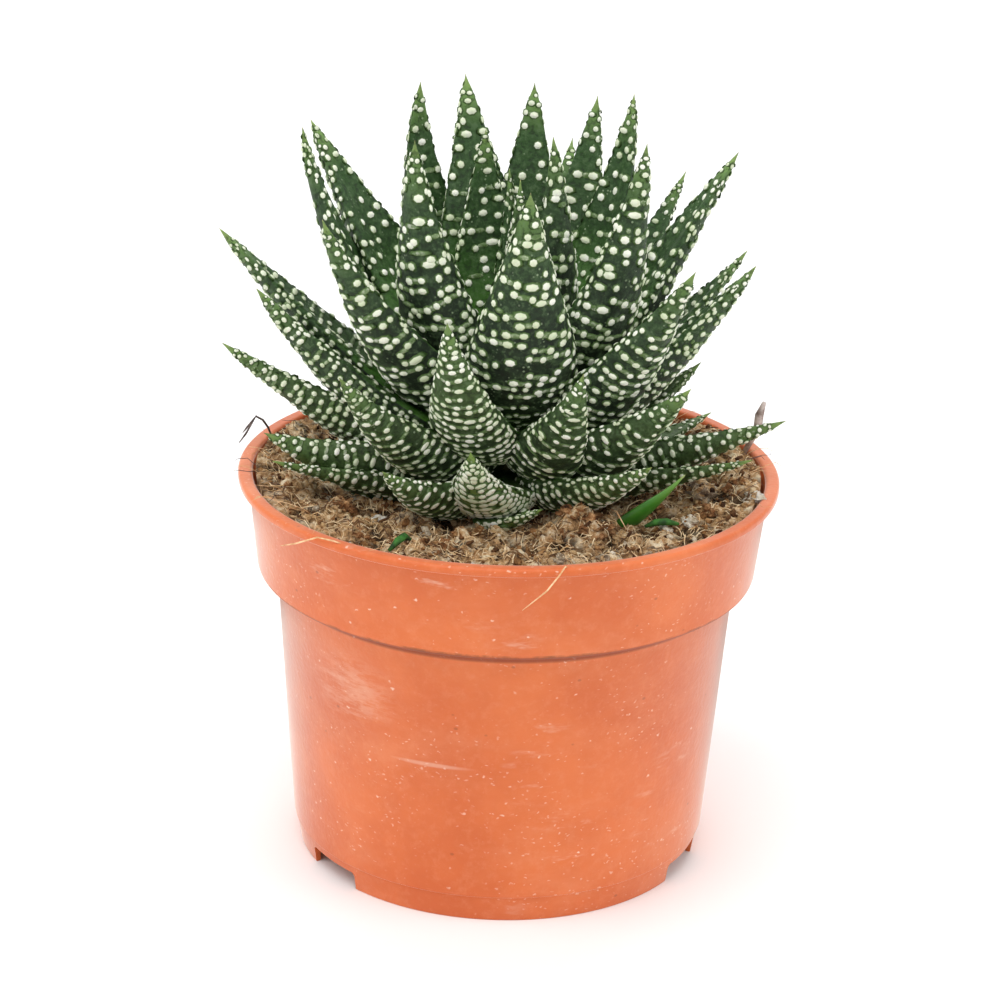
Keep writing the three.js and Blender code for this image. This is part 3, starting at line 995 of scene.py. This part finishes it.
def makeLeaves():
    draw = random.Random(pearls["seed"])
    courses = [Course(row, i + 1) for i, row in enumerate(leafRows)]
    bodies = [leafBody(course) for course in courses]
    trees = [BVHTree.FromBMesh(body) for body in bodies]
    boxes = [boxOf(body) for body in bodies]
    pearled = leafSkin()
    plain = bladeSkin()
    moulds = (
        pearlMesh(pearls["rings"], pearls["top"]),
        pearlMesh(pearls["ridgeRings"], pearls["ridgeTop"]),
    )
    total = 0
    for i, (course, body) in enumerate(zip(courses, bodies)):
        number = i + 1
        skin = plain
        if number != bareLeaf:
            skin = pearled
            others = [trees[j] for j in range(len(trees)) if j != i and boxesMeet(boxes[i], boxes[j])]
            places = pearlPlaces(course, draw)
            total += len(places)
            addPearls(body, course, places, others, moulds)
        piece = finishPiece(f"leafSkin{number:02d}", body, [skin], [f"leaf_{number:02d}"])
        ripe = smooth(leafForm["freshBelow"], leafForm["ripeAbove"], course.height)
        fresh = leafForm["freshest"] * (1 - ripe)
        fresh += max(0, course.crowd - 1) * leafForm["crowdedFreshness"]
        values = piece.data.attributes.new("fresh", "FLOAT", "POINT")
        values.data.foreach_set("value", [fresh] * len(piece.data.vertices))
    print("leaves", len(courses), "pearls", total)


makeLeaves()


# The soil, with its crumbs, grains and fibres

soil = {
    "middle": 84 * mm,
    "edge": 86 * mm,
    "bank": 2.8 * mm,
    "bankSides": (12, 172),
    "topRadius": 56.1 * mm,
    "strewnRadius": 55.2 * mm,
    "below": [(54 * mm, 69.7 * mm), (49.7 * mm, 68.1 * mm), (45.3 * mm, 7.8 * mm)],
    "hollowDepth": 1.8 * mm,
    "grid": 170,
    "crumbs": 1400,
    "crumbSize": (0.3, 0.85),
    "clumpLooks": ["brownClump", "tanClump", "ashClump", "paleClump"],
    "clumps": [
        # x, y, size in mm, and look
        [15, -27, 4.2, 0], [19, -31, 3.2, 0], [25.5, -35.5, 3.4, 1], [31.5, -39.5, 3, 0],
        [8, -33, 2.8, 1], [-2, -36, 2.6, 1], [-13, -37, 2.6, 0], [-30, -30, 3, 1],
        [-36, -22, 2.8, 0], [-45, -14, 3, 1], [-24, -38, 2.4, 0], [48, 2, 3.2, 1],
        [51, -5, 2.4, 0], [44, -20, 2.4, 0], [-50, 10, 3.2, 1], [40, 30, 3, 0],
        [-20, 46, 3.2, 1], [8, 50, 2.8, 0], [30, 42, 3, 1], [-42, 30, 3, 0],
        [50, 14, 2.6, 1], [54, -13.5, 1.9, 3],
    ],
    "smallClumps": 120,
    "smallClumpSize": (1.2, 2.6),
    "clumpFlatness": 0.62,
    "fibres": 2600,
    "fibreRadius": (0.05, 0.14),
    "fibreStep": (0.5, 1.3),
    "fibreLift": (0.1, 1.1),
    "fibrePoints": (4, 8),
    "seed": 11,
}
soilTones = {
    # dark, middle and light
    "peat": [colour(50, 30, 17), colour(198, 156, 108), colour(255, 240, 208)],
    "brownClump": [colour(46, 26, 15), colour(152, 102, 62), colour(232, 184, 132)],
    "tanClump": [colour(76, 50, 30), colour(208, 168, 116), colour(255, 240, 204)],
    "ashClump": [colour(54, 42, 32), colour(164, 142, 116), colour(240, 226, 202)],
    "paleClump": [colour(178, 154, 122), colour(242, 230, 208), colour(255, 252, 246)],
    "paleGrain": [colour(178, 154, 122), colour(242, 230, 208), colour(255, 252, 246)],
    "darkCrumb": [colour(34, 21, 12), colour(84, 54, 32), colour(132, 94, 60)],
    "brownCrumb": [colour(92, 60, 34), colour(166, 120, 74), colour(224, 182, 130)],
    "tanCrumb": [colour(142, 104, 64), colour(202, 164, 116), colour(238, 212, 172)],
    "paleCrumb": [colour(178, 158, 128), colour(232, 216, 188), colour(252, 244, 228)],
    "patch": colour(126, 84, 54),
}
plainTones = {
    # dark and light
    "tanFibre": [colour(200, 158, 104), colour(255, 234, 194)],
    "darkFibre": [colour(66, 40, 22), colour(134, 92, 54)],
    "dryStalk": [colour(58, 48, 46), colour(112, 98, 92)],
    "dryStub": [colour(120, 98, 88), colour(206, 190, 182)],
    "straw": [colour(206, 150, 98), colour(244, 210, 164)],
    "greenScrap": [colour(18, 56, 14), colour(60, 122, 40)],
    "stemSkin": [colour(92, 84, 48), colour(150, 150, 92)],
}


def soilHeight(x, y):
    # the lumpy top of the part's own soil; x and y from the pot's axis
    a, b = x / mm, y / mm
    lumps = 0.6 * math.sin(a * 0.31 + 1.2) * math.cos(b * 0.27 - 0.4)
    crumbs = 0.4 * math.sin(a * 0.83 + b * 0.57) * math.cos(b * 0.71 - a * 0.22)
    mound = 3 * math.exp(-((a - 16) ** 2 + (b + 27) ** 2) / 70)
    rise = smooth(22 * mm, 54 * mm, math.hypot(x, y)) * (soil["edge"] - soil["middle"])
    side = math.atan2(b, a)
    aside = max(math.cos(side - math.radians(bank)) for bank in soil["bankSides"])
    rise += soil["bank"] * smooth(0.5, 0.98, aside) * smooth(38 * mm, 54 * mm, math.hypot(x, y))
    return soil["middle"] + rise + (lumps + crumbs + mound) * mm


def soilGround(x, y):
    # the same height with clods and fine crumb
    place = Vector((x, y, 0))
    clods = noise.fractal(place * 95, 0.7, 2.1, 4) * 1.9 * mm
    bumpShade = -abs(noise.noise(place * 460 + Vector((3, 1, 7)))) * 1.7 * mm
    crumb = noise.noise(place * 1400) * 0.35 * mm
    edge = smooth(56 * mm, 50 * mm, math.hypot(x, y))
    return soilHeight(x, y) + (clods + bumpShade) * mix(0.5, 1, edge) + crumb


def scatter(draw, lowest=0):
    # a place on the open soil, from the pot's axis
    reach = math.sqrt(draw.uniform(lowest, 1)) * soil["strewnRadius"]
    side = draw.uniform(0, 2 * math.pi)
    return reach * math.cos(side), reach * math.sin(side)


def smallClumps():
    # more lumps, strewn over the open soil between the larger ones
    draw = random.Random(soil["seed"] + 3)
    found = []
    for _ in range(soil["smallClumps"]):
        x, y = scatter(draw, 0.3)
        size = draw.uniform(*soil["smallClumpSize"])
        if math.hypot(x, y) < (55.5 - size) * mm:
            found.append((x / mm, y / mm, size, draw.randint(0, 2)))
    return found


clumps = soil["clumps"] + smallClumps()


def soilSkin(x, y):
    # the ground with its lumps
    rise = 0
    a, b = x / mm, y / mm
    for left, front, size, _ in clumps:
        if abs(a - left) < size and abs(b - front) < size:
            inside = 1 - ((a - left) ** 2 + (b - front) ** 2) / size ** 2
            if inside > 0:
                rise = max(rise, size * 0.7 * math.sqrt(inside) * mm)
    return soilGround(x, y) + rise


def earth(name, scale, shadedHollows=False):
    look = Shader(name)
    place = look.place()
    dark, middle, light = soilTones[name]
    cloud = look.noise(place, scale, 5, 0.7)
    skin = look.ramp(cloud, [(0.34, dark), (0.5, middle), (0.66, light)])
    patch = look.noise(place, 75, 2, 0.5)
    skin = look.blend(look.band(patch, 0.5, 0.62) * 0.25, skin, soilTones["patch"])
    strand = look.noise(look.stretched(place, (1, 4, 1), (0, 0, 0.6)), scale * 3, 3, 0.7)
    skin = look.blend(look.band(strand, 0.56, 0.7) * 0.55, skin, light)
    if shadedHollows:
        # painted shade: the peat darkens where the ground lies below its smooth height
        deep = (*[0.35 * level for level in dark[:3]], 1)
        skin = look.blend(look.band(look.attribute("hollow"), 0.3, 0.95) * 0.85, skin, deep)
    fine = look.noise(place, 2600, 3, 0.7)
    return look.finish({
        "Base Color": skin,
        "Roughness": 0.85 + fine * 0.1,
        "Normal": look.bump(fine + strand, 0.8, 0.0008),
        "Specular IOR Level": 0.2,
    })


def makeSoilBed():
    shape = bmesh.new()
    bmesh.ops.create_grid(shape, x_segments=soil["grid"], y_segments=soil["grid"], size=1)
    hollow = shape.verts.layers.float.new("hollow")
    for vert in shape.verts:
        a, b = vert.co.x, vert.co.y
        x = a * math.sqrt(1 - b * b / 2) * soil["topRadius"]
        y = b * math.sqrt(1 - a * a / 2) * soil["topRadius"]
        height = soilSkin(x, y)
        # how far below the smooth ground a point lies, for the painted shade in the hollows
        vert[hollow] = (soilHeight(x, y) - height) / soil["hollowDepth"] + 0.35
        vert.co = (x, y, height)
    rim = [edge for edge in shape.edges if edge.is_boundary]
    for radius, height in soil["below"]:
        ring, rim = extruded(shape, rim)
        for vert in ring:
            scale = radius / math.hypot(vert.co.x, vert.co.y)
            vert.co = (vert.co.x * scale, vert.co.y * scale, height)
    bmesh.ops.holes_fill(shape, edges=rim, sides=0)
    facesOut(shape)
    finishPiece("soilBed", shape, [earth("peat", 240, True)], ["soil"])


def clodMesh(index, fineness=1):
    # a rough ball of soil, in the material that index names
    shape = bmesh.new()
    bmesh.ops.create_icosphere(shape, subdivisions=fineness, radius=1)
    for face in shape.faces:
        face.material_index = index
    return meshOf("clod", shape)


def makeClumps():
    # matted lumps, the larger ones in front and at the sides
    looks = [earth(name, 380 if name == "paleClump" else 420) for name in soil["clumpLooks"]]
    large, small = [[clodMesh(i, fineness) for i in range(len(looks))] for fineness in (4, 3)]
    shape = bmesh.new()
    for number, (x, y, size, index) in enumerate(clumps):
        centre = Vector((x * mm, y * mm, soilGround(x * mm, y * mm) + size * 0.1 * mm))
        offset = Vector((number * 9, 4, 2))

        def ragged(point):
            rough = noise.fractal(point * 1.8 + offset, 0.6, 2.2, 4)
            bumpShade = abs(noise.noise(point * 4 + offset))
            grown = point * (1.02 + rough * 0.8 - bumpShade * 0.7)
            return centre + Vector((grown.x, grown.y, grown.z * soil["clumpFlatness"])) * size * mm

        pour(shape, large[index] if number < len(soil["clumps"]) else small[index], ragged)
    finishPiece("soilClumps", shape, looks)


def makeCrumbs():
    draw = random.Random(soil["seed"])
    noise.seed_set(soil["seed"])
    looks = [earth(name, 300) for name in ("darkCrumb", "brownCrumb", "tanCrumb", "paleCrumb")]
    clods = [clodMesh(i) for i in range(4)]
    shape = bmesh.new()
    for _ in range(soil["crumbs"]):
        x, y = scatter(draw)
        size = draw.uniform(*soil["crumbSize"]) * mm * (1.7 if draw.random() < 0.06 else 1)
        turn = Quaternion((draw.gauss(0, 1), draw.gauss(0, 1), draw.gauss(0, 1)), draw.uniform(0, 6))
        stretch = (draw.uniform(0.8, 1.7), draw.uniform(0.6, 1.1), draw.uniform(0.5, 0.9), 1)
        place = Matrix.Translation((x, y, soilSkin(x, y) + size * 0.25))
        matrix = place @ turn.to_matrix().to_4x4() @ Matrix.Diagonal(stretch)
        pick = draw.choices([0, 1, 2, 3], [5, 5, 4, 0.7])[0]
        offset = Vector((draw.uniform(0, 90), 0, 0))

        def ragged(point):
            push = noise.noise_vector(point * 0.9 + offset) * 0.45
            return matrix @ (point * size + push * size)

        pour(shape, clods[pick], ragged)
    finishPiece("soilCrumbs", shape, looks)


def fibreMesh(strands, looks, roundness=0):
    # thin closed tubes along lists of points, each with its radius and material
    line = bpy.data.curves.new("fibres", "CURVE")
    line.dimensions = "3D"
    line.bevel_depth = 1
    line.bevel_resolution = roundness
    line.use_fill_caps = True
    for look in looks:
        line.materials.append(look)
    for points, radius, index in strands:
        spline = line.splines.new("POLY")
        spline.points.add(len(points) - 1)
        spline.material_index = index
        for i, (point, spot) in enumerate(zip(points, spline.points)):
            spot.co = (*point, 1)
            # thinner at both ends
            spot.radius = radius * (0.45 if i in (0, len(points) - 1) else 1)
    holder = placed("fibres", line)
    graph = bpy.context.evaluated_depsgraph_get()
    mesh = bpy.data.meshes.new_from_object(holder.evaluated_get(graph))
    bpy.data.objects.remove(holder)
    shape = bmesh.new()
    shape.from_mesh(mesh)
    bmesh.ops.remove_doubles(shape, verts=shape.verts, dist=1e-7)
    facesOut(shape)
    return shape


def plainLook(name, scale=500, detail=3, roughness=0.75, bumps=0.4):
    look = Shader(name)
    cloud = look.noise(look.place(), scale, detail, 0.6)
    return look.finish({
        "Base Color": look.blend(look.band(cloud, 0.3, 0.7), *plainTones[name]),
        "Roughness": roughness,
        "Normal": look.bump(cloud, bumps, 0.0002),
    })


def makeFibres():
    draw = random.Random(soil["seed"] + 1)
    looks = [plainLook("tanFibre"), plainLook("darkFibre")]
    strands = []
    for _ in range(soil["fibres"]):
        x, y = scatter(draw)
        heading = draw.uniform(0, 2 * math.pi)
        curl = draw.gauss(0, 0.35)
        step = draw.uniform(*soil["fibreStep"]) * mm
        lift = draw.uniform(*soil["fibreLift"]) * mm
        count = draw.randint(*soil["fibrePoints"])
        points = []
        for i in range(count):
            if math.hypot(x, y) > 55.6 * mm:
                break
            arch = math.sin(math.pi * i / (count - 1))
            points.append(Vector((x, y, soilSkin(x, y) + lift * arch)))
            x += math.cos(heading) * step
            y += math.sin(heading) * step
            heading += curl + draw.gauss(0, 0.25)
        if len(points) > 2:
            pick = 0 if draw.random() < 0.68 else 1
            strands.append((points, draw.uniform(*soil["fibreRadius"]) * mm, pick))
    finishPiece("soilFibres", fibreMesh(strands, looks), looks)


# Bits on the soil and over the rim: stalks, a stub, straws and green scraps, from the pot's axis

bits = {
    "stalkRadius": 0.26 * mm,
    "stalks": [
        [
            (-60.6, 17, 89), (-59.4, 14, 91.4), (-57, 9.4, 95.8),
            (-55.6, 11, 94.4), (-54.6, 14, 91.5), (-53.4, 15.6, 87.4),
        ],
        [(-61, 12, 88.4), (-59.4, 11, 91), (-57, 9.4, 95.8)],
    ],
    "stubRadius": 1.0 * mm,
    "stub": [(52.4, 14.5, 86.8), (56, 14.6, 94.9), (56.2, 14.6, 98), (57.2, 15, 101)],
    "strawRadius": 0.17 * mm,
    "straws": [
        [
            (13, -54, 87.4), (12.2, -58.6, 89.7), (10.9, -61.1, 88.6),
            (8.5, -61.7, 85.4), (3.6, -61.4, 80.8),
        ],
        [
            (-32, -47, 87.6), (-36, -48.4, 89.6), (-39.6, -46.4, 89.5),
            (-44.4, -42.6, 86.4), (-47.8, -38.2, 84),
        ],
        [(21.6, -22, 88.6), (23.4, -27, 89.8), (25.4, -32.4, 88)],
    ],
    "scrapRadius": 0.8 * mm,
    "scraps": [
        [(-24.6, -45.4, 86.6), (-22.8, -43.6, 88.2), (-21.6, -41, 88.2), (-20.4, -38.6, 86.6)],
        [(29.6, -27.6, 86.8), (31.8, -28, 88), (34.2, -27.4, 88), (36.8, -26, 87)],
    ],
    "hairs": 34,
    "hairRadius": (0.04, 0.08),
    "hairRun": [(54, 87), (56.2, 89.2), (58, 89.9), (59.8, 90.3), (61.2, 89.8)],
    "seed": 5,
}


def makeBits():
    looks = [plainLook(name) for name in ("dryStalk", "dryStub", "straw", "greenScrap")]
    kinds = [
        (bits["stalks"], bits["stalkRadius"]),
        ([bits["stub"]], bits["stubRadius"]),
        (bits["straws"], bits["strawRadius"]),
        (bits["scraps"], bits["scrapRadius"]),
    ]
    strands = []
    for index, (runs, radius) in enumerate(kinds):
        strands += [([Vector(point) * mm for point in run], radius, index) for run in runs]
    draw = random.Random(bits["seed"])
    for _ in range(bits["hairs"]):
        side = draw.choice((0, 180)) + draw.gauss(6, 24)
        inner = draw.choice((0, 3, 4)) * mm
        points = []
        for reach, height in bits["hairRun"]:
            reach = reach * mm + draw.uniform(-0.3, 0.3) * mm - inner
            height = height * mm + abs(draw.gauss(0, 0.35)) * mm
            points.append(polar(side, reach, height))
            side += draw.gauss(0, 1.6)
        strands.append((points, draw.uniform(*bits["hairRadius"]) * mm, draw.choice((0, 2, 2))))
    finishPiece("soilBits", fibreMesh(strands, looks, 2), looks)


def makeStones():
    look = earth("paleGrain", 380)
    for number in range(1, 5):
        low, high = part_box(f"grain_{number}")
        centre = (low + high) / 2 - potAxis
        shape = bmesh.new()
        bmesh.ops.create_icosphere(shape, subdivisions=4, radius=1)
        for vert in shape.verts:
            broad = noise.noise(vert.co * 1.1 + Vector((number * 7, 0, 0))) * 0.5
            facet = abs(noise.noise(vert.co * 2.6 + Vector((0, number * 5, 0)))) * 0.5
            fine = noise.noise(vert.co * 7) * 0.06
            grown = vert.co * (1.02 + broad - facet + fine)
            vert.co = centre + Vector([grown[k] * (high[k] - low[k]) / 2 for k in range(3)])
        finishPiece(f"stone{number}", shape, [look], [f"grain_{number}"])


def dressStem():
    # the stem stays as packed, and is hidden among the leaf bases
    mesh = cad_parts["stem"].data
    mesh.materials.clear()
    mesh.materials.append(plainLook("stemSkin", 300, 4, 0.7, 0))


makeSoilBed()
makeCrumbs()
makeClumps()
makeFibres()
makeBits()
makeStones()
dressStem()
print("soil")
